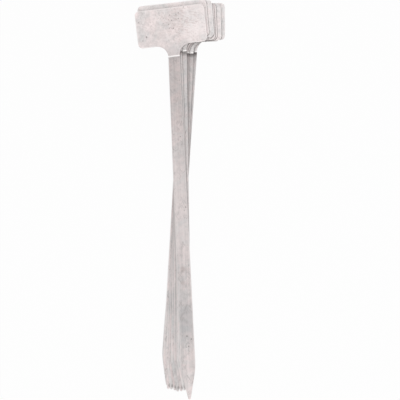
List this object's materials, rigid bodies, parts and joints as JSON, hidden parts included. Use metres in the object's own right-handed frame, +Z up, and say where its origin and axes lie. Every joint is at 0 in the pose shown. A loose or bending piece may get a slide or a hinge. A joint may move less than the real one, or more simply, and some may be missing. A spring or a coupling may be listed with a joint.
{
  "type": "plant label stake pack",
  "caption": "Loose fanned pack of T-headed galvanised sheet metal plant label stakes, each with a folded-up writing head, a long flat shaft and a pointed tip that pushes into soil.",
  "frame": {"origin": "on the table, under the point where the stakes' shafts cross, at the underside of the bottom stake's shaft", "axes": "+Y along the pack towards the heads, +Z up from the table, +X to the right seen from above with the heads at the far end"},
  "size_m": [0.0819, 0.3472, 0.0333],
  "materials": {
    "galvanised_sheet": "dull galvanised, finely mottled"
  },
  "bodies": {
    "stake_01": {"label_stake_01": "galvanised_sheet"},
    "stake_02": {"label_stake_02": "galvanised_sheet"},
    "stake_03": {"label_stake_03": "galvanised_sheet"},
    "stake_04": {"label_stake_04": "galvanised_sheet"},
    "stake_05": {"label_stake_05": "galvanised_sheet"},
    "stake_06": {"label_stake_06": "galvanised_sheet"},
    "stake_07": {"label_stake_07": "galvanised_sheet"},
    "stake_08": {"label_stake_08": "galvanised_sheet"},
    "stake_09": {"label_stake_09": "galvanised_sheet"}
  },
  "joints": [
    {"name": "fan_turn_02", "type": "hinge", "parent": "stake_01", "child": "stake_02", "pos_m": [-0.00184, -0.00277, 0.00088], "axis": [0, 0, 1], "range_deg": [-3, 2]},
    {"name": "fan_turn_03", "type": "hinge", "parent": "stake_02", "child": "stake_03", "pos_m": [0.00002, -0.00314, 0.00176], "axis": [0, 0, 1], "range_deg": [-1.9, 1.6]},
    {"name": "fan_turn_04", "type": "hinge", "parent": "stake_03", "child": "stake_04", "pos_m": [-0.00066, -0.00379, 0.00264], "axis": [0, 0, 1], "range_deg": [-3, 1.2]},
    {"name": "fan_turn_05", "type": "hinge", "parent": "stake_04", "child": "stake_05", "pos_m": [-0.00042, -0.00464, 0.00352], "axis": [0, 0, 1], "range_deg": [-3, 2]},
    {"name": "fan_turn_06", "type": "hinge", "parent": "stake_05", "child": "stake_06", "pos_m": [-0.00008, -0.00454, 0.0044], "axis": [0, 0, 1], "range_deg": [-1.8, 0.3]},
    {"name": "fan_turn_07", "type": "hinge", "parent": "stake_06", "child": "stake_07", "pos_m": [0.00147, -0.00406, 0.00529], "axis": [0, 0, 1], "range_deg": [-0.7, 0.28]},
    {"name": "fan_turn_08", "type": "hinge", "parent": "stake_07", "child": "stake_08", "pos_m": [0.00001, -0.00419, 0.00617], "axis": [0, 0, 1], "range_deg": [-2.4, 0.28]},
    {"name": "lift_off_09", "type": "slide", "parent": "stake_08", "child": "stake_09", "axis": [0, 0, 1], "range_m": [0, 0.06]}
  ]
}
